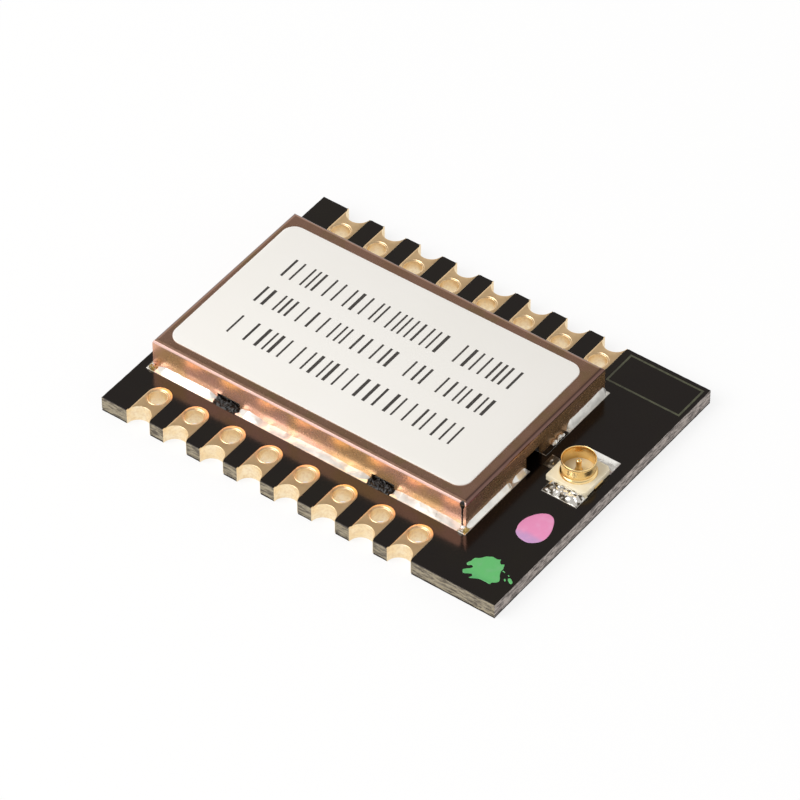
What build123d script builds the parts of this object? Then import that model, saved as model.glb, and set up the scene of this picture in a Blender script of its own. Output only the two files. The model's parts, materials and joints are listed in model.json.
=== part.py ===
from build123d import *
import math
import os

# A castellated radio module: a small circuit board with plated half holes along both long
# sides, a soldered sheet-metal shield can over its radio parts, a paper label on the can
# and a micro coax jack for the aerial. All sizes are millimetres.
# +Z is up. The origin is the middle of the board's underside, +X runs towards the coax
# jack, and the near row of half holes lies at -Y.

# Board. Its outline is worked out from the can, its land and the pads, with this room
# between them.
board_thickness = 1.0
rear_margin = 0.555
front_margin = 4.325
near_pad_gap = 0.62
far_pad_gap = 0.83
top_mask = 0.03
bottom_mask = 0.06  # resist over the ground pour, level with the solder pads
pad_metal = 0.06
plating = 0.03

# Half holes and header holes
pin_pitch = 2.54
first_pin_inset = 2.54
last_pin_room = 5.9  # least distance from a row's last pin to the front edge
notch_radius = 0.78
notch_exit_radius = 0.25
pad_width = 1.5
pad_length = 2.66
header_hole_diameter = 1.1
header_hole_inset = 1.8

# Shield can
can_length = 21.38
can_width = 12.95
can_height = 1.9
can_sheet = 0.2
can_bend_radius = 0.3
corner_slit = 0.1
corner_relief_width = 0.24
corner_relief_height = 0.45
side_relief_offsets = (-5.42, 5.12)
side_relief_width = 1.55
side_relief_height = 0.4
aerial_relief_offset = 0.56
aerial_relief_width = 1.47
aerial_relief_height = 0.84

# Ground land, by how far it reaches past each wall of the can. The can sits off its middle.
land_near = 0.46
land_far = 0.14
land_rear = 0.14
land_front = 0.27
land_inside = 0.35

# Solder between the can and its land
solder_setback = 0.03
solder_hollow = 0.12  # depth of the fillet's hollow, as a share of its smaller side
solder_end_gap = 0.1
folded_corner_gap = 0.48
relief_gap = 0.12
near_solder_height = 0.26
far_solder_height = 0.2
rear_solder_height = 0.2
front_solder_height = 0.28
front_far_solder_height = 0.5
front_near_length = 3.9
front_middle_length = 1.05
front_far_length = 3.4

# Label
label_length = 20.1
label_width = 11.45
label_thickness = 0.08
label_corner_radius = 0.8
label_turn = 0.45
label_offset_x = -0.11
label_offset_y = -0.105

# Micro coax jack
jack_inset = 2.035
jack_y = 0.42
housing_size = 2.6
housing_corner = 0.22
housing_round = 0.08
housing_height = 0.35
housing_edge = 0.05
ring_radius = 1.0
ring_wall = 0.12
ring_waist = 0.07
ring_top = 1.32
ring_lip = 0.2
flare_radius = 1.14
flare_height = 0.4
contact_metal = 0.12
floor_height = 0.45
tab_width = 1.8
tab_reach = 1.55
keeper_width = 0.75
keeper_reach = 1.38
post_radius = 0.2
post_height = 1.12
post_foot_radius = 0.38
tail_width = 0.5
tail_reach = 1.6
tail_gap = 0.12
ground_land_offset = 0.19
ground_land_length = 2.32
ground_land_width = 1.05
ground_land_reach = 2.1
signal_land_length = 1.0
signal_land_width = 0.9
signal_land_reach = 2.05
jack_solder_leg = 0.3

# Ink marks left by inspection, placed from the board's front and near edges
ink_thickness = 0.02
pink_insets = (1.535, 5.99)
pink_length, pink_width = 2.48, 1.84
pink_tip_radius, pink_tip_shift = 0.4, 0.1
green_insets = (1.925, 1.86)
green_size = 1.95
green_lobes, green_lobe_radius = 9, 0.27

# Small parts under the can, as x and y from the can's middle and a turn in degrees
chip_size = 4.0
chip_height = 0.85
chip_place = (-1.45, -0.65)
pin_one_dimple = 0.3
crystal_length, crystal_width, crystal_height = 2.5, 2.0, 0.55
crystal_lid_step = 0.15
crystal_place = (-5.65, -1.65)
choke_length, choke_width, choke_height = 2.0, 1.25, 1.2
choke_place = (-1.05, 3.55)
chip_part_length, chip_part_width, chip_part_height = 1.0, 0.5, 0.5
chip_part_cap = 0.22
chip_part_relief = 0.02
capacitor_places = (
    (-5.45, 1.15, 0),
    (-3.95, 2.55, 90),
    (1.55, 2.85, 90),
    (2.15, -3.45, 0),
    (4.95, 1.45, 90),
    (7.55, 1.45, 90),
)
coil_places = ((2.55, 0.05, 0), (3.95, 0.05, 0), (6.25, 0.05, 0))
resistor_places = ((-4.05, -4.45, 0), (-1.45, -4.25, 0))

# Levels worked out from the sizes above
mask_top = board_thickness
laminate_top = board_thickness - top_mask
laminate_bottom = bottom_mask
laminate_height = laminate_top - laminate_bottom
land_top = laminate_top + pad_metal
can_top = land_top + can_height

# Board outline and the places of the can and the jack, worked out from the sizes above
board_length = rear_margin + land_rear + can_length + land_front + front_margin
board_width = can_width + land_near + land_far + near_pad_gap + far_pad_gap + 2 * pad_length
edge_x = board_length / 2
edge_y = board_width / 2
can_centre_x = rear_margin + land_rear + can_length / 2 - edge_x
can_centre_y = pad_length + near_pad_gap + land_near + can_width / 2 - edge_y
jack_x = edge_x - jack_inset

# Places worked out from the sizes above
pins_per_side = 1 + int((board_length - first_pin_inset - last_pin_room) / pin_pitch)
pin_places = [first_pin_inset - edge_x + pin_pitch * i for i in range(pins_per_side)]
notch_centres = [(x, side * edge_y) for side in (-1, 1) for x in pin_places]
header_centres = [(x, side * (edge_y - header_hole_inset)) for side in (-1, 1) for x in pin_places]
can_half_x = can_length / 2
can_half_y = can_width / 2
slit_inset = can_sheet + corner_slit / 2
wall_end_inset = can_sheet + corner_slit
aerial_relief_y = jack_y - can_centre_y - aerial_relief_offset
drill_radius = header_hole_diameter / 2 + plating

os.makedirs("parts", exist_ok=True)


def save(part, name):
    """Labels one finished piece and writes its file."""
    part.label = name
    export_step(part, f"parts/{name}.step")


def is_notch_exit(vertex):
    """True for the corner where a half hole runs out of the board's edge on its +X side."""
    on_edge = abs(abs(vertex.Y) - edge_y) < 0.001
    return on_edge and any(abs(vertex.X - x - notch_radius) < 0.001 for x in pin_places)


# Outline of the finished board. The cutter rounds each half hole over on its +X side.
with BuildSketch() as board_outline:
    Rectangle(board_length, board_width)
    with Locations(*notch_centres):
        Circle(notch_radius, mode=Mode.SUBTRACT)
    fillet([v for v in board_outline.vertices() if is_notch_exit(v)], notch_exit_radius)


def pad_outline(x, side):
    """Solder pad of one pin: straight from the board's edge, round at its inner end."""
    straight = pad_length - pad_width / 2
    with BuildSketch() as outline:
        with Locations((x, side * (edge_y - straight / 2))):
            Rectangle(pad_width, straight)
        with Locations((x, side * (edge_y - straight))):
            Circle(pad_width / 2)
        add(board_outline.sketch, mode=Mode.INTERSECT)
    return outline.sketch


# Copper frame that the can stands on, open where the aerial track leaves the can and
# bitten back at the reliefs in the long walls.
land_middle = (
    can_centre_x + (land_front - land_rear) / 2,
    can_centre_y + (land_far - land_near) / 2,
)
with BuildSketch() as land_outline:
    with Locations(land_middle):
        Rectangle(can_length + land_front + land_rear, can_width + land_near + land_far)
    with Locations((can_centre_x, can_centre_y)):
        inner = 2 * (can_sheet + land_inside)
        Rectangle(can_length - inner, can_width - inner, mode=Mode.SUBTRACT)
    for side, reach in ((-1, land_near), (1, land_far)):
        bite = can_sheet + reach
        bite_y = can_centre_y + side * (can_half_y - can_sheet + bite / 2)
        with Locations(*[(can_centre_x + offset, bite_y) for offset in side_relief_offsets]):
            Rectangle(side_relief_width, bite, mode=Mode.SUBTRACT)
    with Locations((can_centre_x + can_half_x, can_centre_y + aerial_relief_y)):
        opening = 2 * (land_inside + can_sheet + land_front)
        Rectangle(opening, aerial_relief_width, mode=Mode.SUBTRACT)

# Copper lands under the coax jack
ground_land_y = ground_land_reach - ground_land_width / 2
with BuildSketch() as near_ground_outline:
    with Locations((jack_x + ground_land_offset, jack_y - ground_land_y)):
        Rectangle(ground_land_length, ground_land_width)
with BuildSketch() as far_ground_outline:
    with Locations((jack_x + ground_land_offset, jack_y + ground_land_y)):
        Rectangle(ground_land_length, ground_land_width)
with BuildSketch() as signal_outline:
    with Locations((jack_x - signal_land_reach + signal_land_length / 2, jack_y)):
        Rectangle(signal_land_length, signal_land_width)
jack_lands = {
    "coax_ground_land_near": near_ground_outline.sketch,
    "coax_ground_land_far": far_ground_outline.sketch,
    "coax_signal_land": signal_outline.sketch,
}

# Glass-fibre laminate, drilled for the plated holes
with BuildPart() as board_laminate:
    with BuildSketch(Plane.XY.offset(laminate_bottom)):
        add(board_outline.sketch)
        with Locations(*notch_centres):
            Circle(notch_radius + plating, mode=Mode.SUBTRACT)
        with Locations(*header_centres):
            Circle(drill_radius, mode=Mode.SUBTRACT)
    extrude(amount=laminate_height)
save(board_laminate.part, "board_laminate")

# Solder resist on the underside, open at the pads
with BuildPart() as solder_mask_bottom:
    with BuildSketch(Plane.XY):
        add(board_outline.sketch)
        for side in (-1, 1):
            for x in pin_places:
                add(pad_outline(x, side), mode=Mode.SUBTRACT)
        with Locations(*notch_centres):
            Circle(notch_radius + plating, mode=Mode.SUBTRACT)
    extrude(amount=bottom_mask)
save(solder_mask_bottom.part, "solder_mask_bottom")

# Solder resist on top, open at the pads, the can's land and the jack's lands
with BuildPart() as solder_mask_top:
    with BuildSketch(Plane.XY.offset(laminate_top)):
        add(board_outline.sketch)
        for side in (-1, 1):
            for x in pin_places:
                add(pad_outline(x, side), mode=Mode.SUBTRACT)
        with Locations(*notch_centres):
            Circle(notch_radius + plating, mode=Mode.SUBTRACT)
        add(land_outline.sketch, mode=Mode.SUBTRACT)
        for outline in jack_lands.values():
            add(outline, mode=Mode.SUBTRACT)
    extrude(amount=top_mask)
save(solder_mask_top.part, "solder_mask_top")

# One plated pin after another: pads on both faces joined by the half hole's barrel and by
# the header hole's barrel.
for side_name, side in (("near", -1), ("far", 1)):
    for index, x in enumerate(pin_places):
        notch_centre = (x, side * edge_y)
        header_centre = (x, side * (edge_y - header_hole_inset))
        pad = pad_outline(x, side)
        with BuildPart() as castellation:
            with BuildSketch(Plane.XY, Plane.XY.offset(laminate_top)):
                add(pad)
            extrude(amount=pad_metal)
            with BuildSketch(Plane.XY):
                with Locations(notch_centre):
                    Circle(notch_radius + plating)
                add(board_outline.sketch, mode=Mode.INTERSECT)
                with Locations(header_centre):
                    Circle(drill_radius)
            extrude(amount=land_top)
            with BuildSketch(Plane.XY):
                with Locations(header_centre):
                    Circle(header_hole_diameter / 2)
            extrude(amount=land_top, mode=Mode.SUBTRACT)
        save(castellation.part, f"castellation_{side_name}_{index + 1}")

# Ground land under the can
with BuildPart() as shield_land:
    with BuildSketch(Plane.XY.offset(laminate_top)):
        add(land_outline.sketch)
    extrude(amount=pad_metal)
save(shield_land.part, "shield_land")

# Shield can, folded from sheet: a top with bent edges and four walls. The front wall runs the
# full width and the long walls stop at a slit beside it. The long walls run right to the back
# and the rear wall stops at a slit beside them. Each slit ends in a relief slot in the bend,
# and the walls' lower edges are cut up at the reliefs.
can_plane = Plane((can_centre_x, can_centre_y, land_top))
with BuildPart() as can_space:
    with BuildSketch(can_plane):
        Rectangle(can_length - 2 * can_sheet, can_width - 2 * can_sheet)
    extrude(amount=can_height - can_sheet)
    fillet(can_space.faces().sort_by(Axis.Z)[-1].edges(), can_bend_radius - can_sheet)
with BuildPart() as shield_can:
    with BuildSketch(can_plane):
        Rectangle(can_length, can_width)
    extrude(amount=can_height)
    fillet(shield_can.faces().sort_by(Axis.Z)[-1].edges(), can_bend_radius)
    add(can_space.part, mode=Mode.SUBTRACT)
    slit_top = can_height - can_bend_radius
    slit_x = can_half_x - slit_inset
    slit_y = can_half_y - slit_inset
    with BuildSketch(can_plane):
        with Locations(*[(slit_x, side * (can_half_y - can_sheet / 2)) for side in (-1, 1)]):
            Rectangle(corner_slit, can_sheet)
        with Locations(*[(can_sheet / 2 - can_half_x, side * slit_y) for side in (-1, 1)]):
            Rectangle(can_sheet, corner_slit)
    extrude(amount=slit_top, mode=Mode.SUBTRACT)
    for out, x, y in (
        ((0, -1, 0), slit_x, -can_half_y),
        ((0, 1, 0), slit_x, can_half_y),
        ((-1, 0, 0), -can_half_x, -slit_y),
        ((-1, 0, 0), -can_half_x, slit_y),
    ):
        relief_place = (can_centre_x + x, can_centre_y + y, land_top + slit_top)
        with BuildSketch(Plane(relief_place, x_dir=(0, 0, 1), z_dir=out)):
            SlotOverall(corner_relief_height, corner_relief_width)
        extrude(amount=-can_bend_radius, mode=Mode.SUBTRACT)
    with BuildSketch(can_plane):
        with Locations(*[(offset_x, 0) for offset_x in side_relief_offsets]):
            Rectangle(side_relief_width, 2 * can_width)
    extrude(amount=side_relief_height, mode=Mode.SUBTRACT)
    with BuildSketch(can_plane):
        with Locations((can_half_x, aerial_relief_y)):
            Rectangle(4 * can_sheet, aerial_relief_width)
    extrude(amount=aerial_relief_height, mode=Mode.SUBTRACT)
save(shield_can.part, "shield_can")


def solder_strip(start, out, length, leg, height):
    """Fillet of solder along a wall's foot, drawn in to the wall at both ends.

    It starts at one end of the wall's foot and runs to the right of someone who stands
    at the wall and looks outwards.
    """
    up = Vector(0, 0, 1)
    along = Vector(*out).cross(up)
    section_start = Vector(*start) + along * leg
    section_end = Vector(*start) + along * (length - leg)
    with BuildSketch(Plane.XY) as profile:
        with BuildLine():
            Line((0, height), (0, 0))
            Line((0, 0), (leg, 0))
            SagittaArc((leg, 0), (0, height), solder_hollow * min(leg, height))
        make_face()
    with BuildPart() as strip:
        with BuildSketch(Plane(section_start, x_dir=out, z_dir=along)):
            add(profile.sketch)
        extrude(amount=length - 2 * leg)
        with BuildSketch(Plane(section_start, x_dir=out, z_dir=along)):
            add(profile.sketch)
        revolve(axis=Axis(section_start, up), revolution_arc=90)
        with BuildSketch(Plane(section_end, x_dir=out, z_dir=along)):
            add(profile.sketch)
        revolve(axis=Axis(section_end, -up), revolution_arc=90)
    return strip.part


# Solder between the long walls and the land, in three strips on each side
wall_breaks = [folded_corner_gap - can_half_x]
for offset_x in side_relief_offsets:
    wall_breaks.append(offset_x - side_relief_width / 2 - relief_gap)
    wall_breaks.append(offset_x + side_relief_width / 2 + relief_gap)
wall_breaks.append(can_half_x - wall_end_inset - solder_end_gap)
for side_name, side, reach, height in (
    ("near", -1, land_near, near_solder_height),
    ("far", 1, land_far, far_solder_height),
):
    for index in range(3):
        low, high = wall_breaks[2 * index], wall_breaks[2 * index + 1]
        start_x = can_centre_x + (high if side < 0 else low)
        start = (start_x, can_centre_y + side * can_half_y, land_top)
        strip = solder_strip(start, (0, side, 0), high - low, reach - solder_setback, height)
        save(strip, f"shield_solder_{side_name}_{index + 1}")

# Solder along the end walls: two strips on the near side of the aerial relief, one at the
# far corner, and one along the whole rear wall
end_low = -can_half_y + solder_end_gap
end_high = can_half_y - solder_end_gap
rear_half = can_half_y - wall_end_inset - solder_end_gap
middle_high = aerial_relief_y - aerial_relief_width / 2 - relief_gap
for name, side, low, high, reach, height in (
    ("front_near", 1, end_low, end_low + front_near_length, land_front, front_solder_height),
    ("front_middle", 1, middle_high - front_middle_length, middle_high, land_front,
     front_solder_height),
    ("front_far", 1, end_high - front_far_length, end_high, land_front,
     front_far_solder_height),
    ("rear", -1, -rear_half, rear_half, land_rear, rear_solder_height),
):
    start_y = can_centre_y + (high if side > 0 else low)
    start = (can_centre_x + side * can_half_x, start_y, land_top)
    strip = solder_strip(start, (side, 0, 0), high - low, reach - solder_setback, height)
    save(strip, f"shield_solder_{name}")

# Paper label on the can, stuck on a little askew
label_origin = (can_centre_x + label_offset_x, can_centre_y + label_offset_y, can_top)
with BuildPart() as label:
    with BuildSketch(Plane(label_origin).rotated((0, 0, label_turn))):
        RectangleRounded(label_length, label_width, label_corner_radius)
    extrude(amount=label_thickness)
save(label.part, "label")

# Lands of the coax jack
for name, outline in jack_lands.items():
    with BuildPart() as jack_land:
        with BuildSketch(Plane.XY.offset(laminate_top)):
            add(outline)
        extrude(amount=pad_metal)
    save(jack_land.part, name)

# Ring contact of the jack: a drawn tube with a rolled lip and a waist for the plug's snap
# fit, flared out at its foot inside the moulding, with a foot on each ground land and a
# small tab at the front.
jack_plane = Plane((jack_x, jack_y, land_top))
jack_axis = Axis((jack_x, jack_y, 0), (0, 0, 1))
ring_section = Plane((jack_x, jack_y, land_top), x_dir=(1, 0, 0), z_dir=(0, -1, 0))
waist_radius = ring_radius - ring_waist
ring_inner = waist_radius - ring_wall
flare_top = contact_metal + flare_height
crown = ring_top - ring_wall / 2
lip_low = crown - ring_lip
housing_half = housing_size / 2
with BuildPart() as coax_ring:
    with BuildSketch(ring_section):
        with BuildLine():
            Polyline(
                (ring_inner, crown),
                (ring_inner, flare_top),
                (flare_radius - ring_wall, 0),
                (flare_radius, 0),
                (flare_radius, contact_metal),
                (waist_radius, flare_top),
                (waist_radius, lip_low),
            )
            ThreePointArc(
                (waist_radius, lip_low), (ring_radius, lip_low + ring_lip / 2), (waist_radius, crown)
            )
            ThreePointArc(
                (waist_radius, crown), (waist_radius - ring_wall / 2, ring_top), (ring_inner, crown)
            )
        make_face()
    revolve(axis=jack_axis)
    with BuildSketch(jack_plane):
        with Locations((-flare_radius, 0)):
            Rectangle(flare_radius, tail_width + 2 * tail_gap)
    extrude(amount=contact_metal + tail_gap, mode=Mode.SUBTRACT)
    foot_start = flare_radius - ring_wall
    foot_length = tab_reach - foot_start
    with BuildSketch(jack_plane):
        for side in (-1, 1):
            with Locations((0, side * (foot_start + foot_length / 2))):
                Rectangle(tab_width, foot_length)
        with Locations(((foot_start + keeper_reach) / 2, 0)):
            Rectangle(keeper_reach - foot_start, keeper_width)
    extrude(amount=contact_metal)
save(coax_ring.part, "coax_ring")

# Centre contact of the jack: a round-ended post on a cone, with a flat tail to its land
with BuildPart() as coax_post:
    cone_top = floor_height + 2 * (post_foot_radius - post_radius)
    round_low = post_height - post_radius
    with BuildSketch(ring_section):
        with BuildLine():
            Polyline(
                (0, post_height),
                (0, 0),
                (post_foot_radius, 0),
                (post_foot_radius, floor_height),
                (post_radius, cone_top),
                (post_radius, round_low),
            )
            RadiusArc((post_radius, round_low), (0, post_height), -post_radius)
        make_face()
    revolve(axis=jack_axis)
    with BuildSketch(jack_plane):
        with Locations((-tail_reach / 2, 0)):
            Rectangle(tail_reach, tail_width)
    extrude(amount=contact_metal)
save(coax_post.part, "coax_post")

# Moulded body of the jack, made round its two contacts, with a raised floor in the ring
with BuildPart() as coax_housing:
    with BuildSketch(jack_plane) as housing_outline:
        Rectangle(housing_size, housing_size)
        chamfer(housing_outline.vertices().group_by(Axis.X)[-1], housing_corner)
        fillet(housing_outline.vertices().group_by(Axis.X)[0], housing_round)
    extrude(amount=housing_height)
    chamfer(coax_housing.faces().sort_by(Axis.Z)[-1].edges(), housing_edge)
    with BuildSketch(jack_plane):
        Circle(waist_radius)
    extrude(amount=floor_height)
    add(coax_ring.part, mode=Mode.SUBTRACT)
    add(coax_post.part, mode=Mode.SUBTRACT)
save(coax_housing.part, "coax_housing")


def solder_wedge(start, out, length):
    """Small wedge of solder against the end of one of the jack's feet."""
    along = Vector(*out).cross(Vector(0, 0, 1))
    with BuildPart() as wedge:
        with BuildSketch(Plane(start, x_dir=out, z_dir=along)):
            Polygon((0, 0), (jack_solder_leg, 0), (0, contact_metal), align=None)
        extrude(amount=length)
    return wedge.part


# Solder at the jack's three feet
for side_name, side in (("near", -1), ("far", 1)):
    foot_end = (jack_x - side * tab_width / 2, jack_y + side * tab_reach, land_top)
    save(solder_wedge(foot_end, (0, side, 0), tab_width), f"coax_solder_{side_name}")
tail_end = (jack_x - tail_reach, jack_y - tail_width / 2, land_top)
save(solder_wedge(tail_end, (-1, 0, 0), tail_width), "coax_solder_signal")

# Ink mark left by a pen's round tip, drawn out to a narrow end
with BuildPart() as pink_ink_mark:
    with BuildSketch(Plane((edge_x - pink_insets[0], pink_insets[1] - edge_y, mask_top))):
        with Locations((0, (pink_width - pink_length) / 2)):
            Circle(pink_width / 2)
        with Locations((pink_tip_shift, pink_length / 2 - pink_tip_radius)):
            Circle(pink_tip_radius)
        make_hull()
    extrude(amount=ink_thickness)
save(pink_ink_mark.part, "pink_ink_mark")

# Ink mark dabbed on, with a ragged edge
with BuildPart() as green_ink_mark:
    with BuildSketch(Plane((edge_x - green_insets[0], green_insets[1] - edge_y, mask_top))):
        Circle(green_size / 2 - green_lobe_radius)
        with PolarLocations(green_size / 2 - green_lobe_radius, green_lobes):
            Circle(green_lobe_radius)
    extrude(amount=ink_thickness)
save(green_ink_mark.part, "green_ink_mark")


def part_plane(x, y, turn):
    """Plane on the board's top at one place under the can, turned about +Z."""
    return Plane((can_centre_x + x, can_centre_y + y, mask_top)).rotated((0, 0, turn))


# Radio chip, with a dimple at pin one
with BuildPart() as radio_chip:
    chip_plane = part_plane(*chip_place, 0)
    with BuildSketch(chip_plane):
        Rectangle(chip_size, chip_size)
    extrude(amount=chip_height)
    with BuildSketch(chip_plane.offset(chip_height)):
        inset = chip_size / 2 - 2 * pin_one_dimple
        with Locations((-inset, inset)):
            Circle(pin_one_dimple / 2)
    extrude(amount=-pin_one_dimple / 4, mode=Mode.SUBTRACT)
save(radio_chip.part, "radio_chip")

# Crystal in its ceramic pack, with a stepped metal lid
with BuildPart() as crystal:
    crystal_plane = part_plane(*crystal_place, 90)
    with BuildSketch(crystal_plane):
        RectangleRounded(crystal_length, crystal_width, crystal_lid_step)
    extrude(amount=crystal_height - crystal_lid_step)
    with BuildSketch(crystal_plane.offset(crystal_height - crystal_lid_step)):
        lid_cut = 2 * crystal_lid_step
        Rectangle(crystal_length - lid_cut, crystal_width - lid_cut)
    extrude(amount=crystal_lid_step)
save(crystal.part, "crystal")


def chip_component(x, y, turn, length, width, height):
    """Two-ended chip part: a body slightly thinner than its end caps."""
    plane = part_plane(x, y, turn)
    with BuildPart() as component:
        with BuildSketch(plane):
            Rectangle(length, width)
        extrude(amount=height)
        with BuildSketch(plane.offset(height)):
            Rectangle(length - 2 * chip_part_cap, width)
        extrude(amount=-chip_part_relief, mode=Mode.SUBTRACT)
        with BuildSketch(plane):
            for side in (-1, 1):
                with Locations((0, side * width / 2)):
                    Rectangle(length - 2 * chip_part_cap, 2 * chip_part_relief)
        extrude(amount=height, mode=Mode.SUBTRACT)
    return component.part


# Supply choke and the small chip parts round the radio chip
choke = chip_component(*choke_place, 0, choke_length, choke_width, choke_height)
save(choke, "supply_choke")
for name, places in (
    ("capacitor", capacitor_places),
    ("coil", coil_places),
    ("resistor", resistor_places),
):
    for index, (x, y, turn) in enumerate(places):
        component = chip_component(
            x, y, turn, chip_part_length, chip_part_width, chip_part_height
        )
        save(component, f"{name}_{index + 1}")
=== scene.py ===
import json
import math
import random

import bmesh
import bpy
from mathutils import Matrix, Vector, noise


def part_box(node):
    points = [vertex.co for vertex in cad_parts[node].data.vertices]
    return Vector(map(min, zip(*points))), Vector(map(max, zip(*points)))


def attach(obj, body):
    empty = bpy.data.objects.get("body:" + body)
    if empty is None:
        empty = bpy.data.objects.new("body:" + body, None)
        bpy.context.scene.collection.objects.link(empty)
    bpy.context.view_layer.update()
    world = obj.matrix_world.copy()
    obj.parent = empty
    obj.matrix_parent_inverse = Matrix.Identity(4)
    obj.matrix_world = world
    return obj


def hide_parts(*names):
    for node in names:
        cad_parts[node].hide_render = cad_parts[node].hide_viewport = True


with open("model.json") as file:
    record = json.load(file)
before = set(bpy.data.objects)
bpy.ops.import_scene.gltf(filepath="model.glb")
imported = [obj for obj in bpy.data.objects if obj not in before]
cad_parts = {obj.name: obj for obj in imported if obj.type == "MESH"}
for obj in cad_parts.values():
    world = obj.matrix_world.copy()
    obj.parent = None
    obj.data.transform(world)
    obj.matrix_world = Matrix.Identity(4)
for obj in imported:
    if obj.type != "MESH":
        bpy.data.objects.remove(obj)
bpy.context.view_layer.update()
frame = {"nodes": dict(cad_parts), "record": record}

# The looks of a castellated radio module. Sizes are written in millimetres and turned into
# metres where a mesh is made. +X runs towards the coax jack, the near row of pads is at -Y.
MM = 0.001
nodes = frame["nodes"]


def box_mm(node):
    """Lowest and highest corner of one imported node, in millimetres."""
    low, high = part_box(node)
    return Vector(low) / MM, Vector(high) / MM


# Levels and edges read from the frame
board_low, board_high = box_mm("board_laminate")
edge_x, edge_y = board_high.x, board_high.y
mask_top = box_mm("solder_mask_top")[1].z
land_low, land_high = box_mm("shield_land")
land_top = land_high.z
can_low, can_high = box_mm("shield_can")
label_low, label_high = box_mm("label")
housing_low, housing_high = box_mm("coax_housing")
jack_centre = (housing_low + housing_high) / 2

# Pads and half holes
pin_pitch = 2.54
pins_per_side = 8
first_pin_inset = 2.54
pin_places = [first_pin_inset - edge_x + pin_pitch * i for i in range(pins_per_side)]
pin_foot = 0.001  # underside of a pin, a hair over the floor
pad_width = 1.5
pad_length = 2.66
rim_width = 0.11
rim_sink = 0.005
hole_inset = 1.8
hole_radius = 0.53
hole_round = 0.05
groove_width = 0.085
groove_depth = 0.026
notch_radius = 0.765
notch_round = 0.03
exit_radius = 0.12
plating = 0.03
lining = 0.4 * plating

# Board layers
board_hole_radius = 0.57
edge_step = 0.12  # distance of the points along a milled edge
resist_inset = 0.006
resist_round = 0.02
resist_wear = 0.02
mill_depth = 0.03

# Can and the solder and flux round it
can_bend = 0.3
seam_inset = 0.26
opening_offsets = (-5.42, 5.12)
bead_reach = 0.11
bead_lumps = 0.12
corner_reach = 0.26
land_rim = 0.01
sunk = 0.01  # how far a piece reaches into what it lies on
print_rise = 0.006

# Vertices nearer than this are one
touching = 0.00001

# Camera at the photograph's viewing angle
camera_azimuth = math.radians(36.658)
camera_elevation = math.radians(44.41)
camera_roll = math.radians(-0.215)
camera_distance = 321.38
camera_target = Vector((-0.587, 0.216, 0.0))
lens_to_frame = 7.2819
sensor_width = 36.0

# Key lamp, a square softbox at the object's near left
key_way = math.radians(-37), math.radians(44)
key_distance = 900
key_side = 720
key_power = 6.2
key_target = Vector((0, 0, 1))


def in_scene(name, data):
    """New object in the scene."""
    thing = bpy.data.objects.new(name, data)
    bpy.context.scene.collection.objects.link(thing)
    return thing


def toward(azimuth, elevation):
    """Direction from the object to a viewer at that azimuth and elevation, in radians."""
    flat = math.cos(elevation)
    return Vector((math.sin(azimuth) * flat, -math.cos(azimuth) * flat, math.sin(elevation)))


def aim(thing, place, target, roll=0.0):
    """Puts a camera or lamp at a place and turns it to look at the target."""
    back = (place - target).normalized()
    right = Vector((0, 0, 1)).cross(back).normalized()
    up = back.cross(right)
    side = right * math.cos(roll) + up * math.sin(roll)
    top = up * math.cos(roll) - right * math.sin(roll)
    turn = Matrix((side, top, back)).transposed().to_4x4()
    thing.matrix_world = Matrix.Translation(place * MM) @ turn


def make_camera():
    """Camera that sees the object as the photograph does."""
    data = bpy.data.cameras.new("camera")
    data.sensor_width = sensor_width
    data.lens = lens_to_frame * sensor_width
    camera = in_scene("camera", data)
    place = camera_target + toward(camera_azimuth, camera_elevation) * camera_distance
    aim(camera, place, camera_target, camera_roll)
    bpy.context.scene.camera = camera


def make_key_lamp():
    """One large soft lamp."""
    data = bpy.data.lights.new("key_softbox", "AREA")
    data.shape = "RECTANGLE"
    data.size = data.size_y = key_side * MM
    data.energy = key_power
    place = key_target + toward(*key_way) * key_distance
    aim(in_scene("key_softbox", data), place, key_target)


class Shading:
    """Short hand for building one node tree."""

    def __init__(self, tree):
        self.tree = tree

    def plug(self, node, values):
        """Sets a node's sockets, by name or number, to values or to other nodes' outputs."""
        for name, value in dict(values).items():
            if isinstance(value, bpy.types.NodeSocket):
                self.tree.links.new(value, node.inputs[name])
            else:
                node.inputs[name].default_value = value

    def add(self, kind, values=(), **settings):
        """New node with settings by attribute and values by socket name or number."""
        node = self.tree.nodes.new(kind)
        for name, value in settings.items():
            setattr(node, name, value)
        self.plug(node, values)
        return node

    def math(self, operation, first, second=0.0, third=0.0):
        """One math node's output."""
        values = {0: first, 1: second, 2: third}
        return self.add("ShaderNodeMath", values, operation=operation).outputs[0]

    def mix(self, factor, first, second):
        """Colour between two others, each a socket or red, green and blue."""
        first, second = [(*end, 1) if isinstance(end, tuple) else end for end in (first, second)]
        values = {0: factor, 6: first, 7: second}
        return self.add("ShaderNodeMix", values, data_type="RGBA").outputs[2]

    def tint(self, mask, share, first, second):
        """Colour that goes that share of the way to the second one where the mask is 1."""
        return self.mix(self.math("MULTIPLY", mask, share), first, second)

    def ramp(self, value, low, high):
        """0 below low, 1 above high, and a smooth way between."""
        values = {"Value": value, "From Min": low, "From Max": high}
        return self.add("ShaderNodeMapRange", values, interpolation_type="SMOOTHSTEP").outputs[0]

    def place(self):
        """Place on the object, in metres."""
        return self.add("ShaderNodeTexCoord").outputs["Object"]

    def cloud(self, size, detail):
        """Noise with lumps of that size in millimetres."""
        scale = self.math("DIVIDE", 1.0 / MM, size)
        values = {"Vector": self.place(), "Scale": scale, "Detail": detail}
        return self.add("ShaderNodeTexNoise", values).outputs["Fac"]

    def split(self, vector):
        """X, Y and Z of a vector."""
        return self.add("ShaderNodeSeparateXYZ", {0: vector}).outputs

    def facing(self):
        """X, Y and Z of the way that the surface faces."""
        return self.split(self.add("ShaderNodeNewGeometry").outputs["Normal"])


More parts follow.
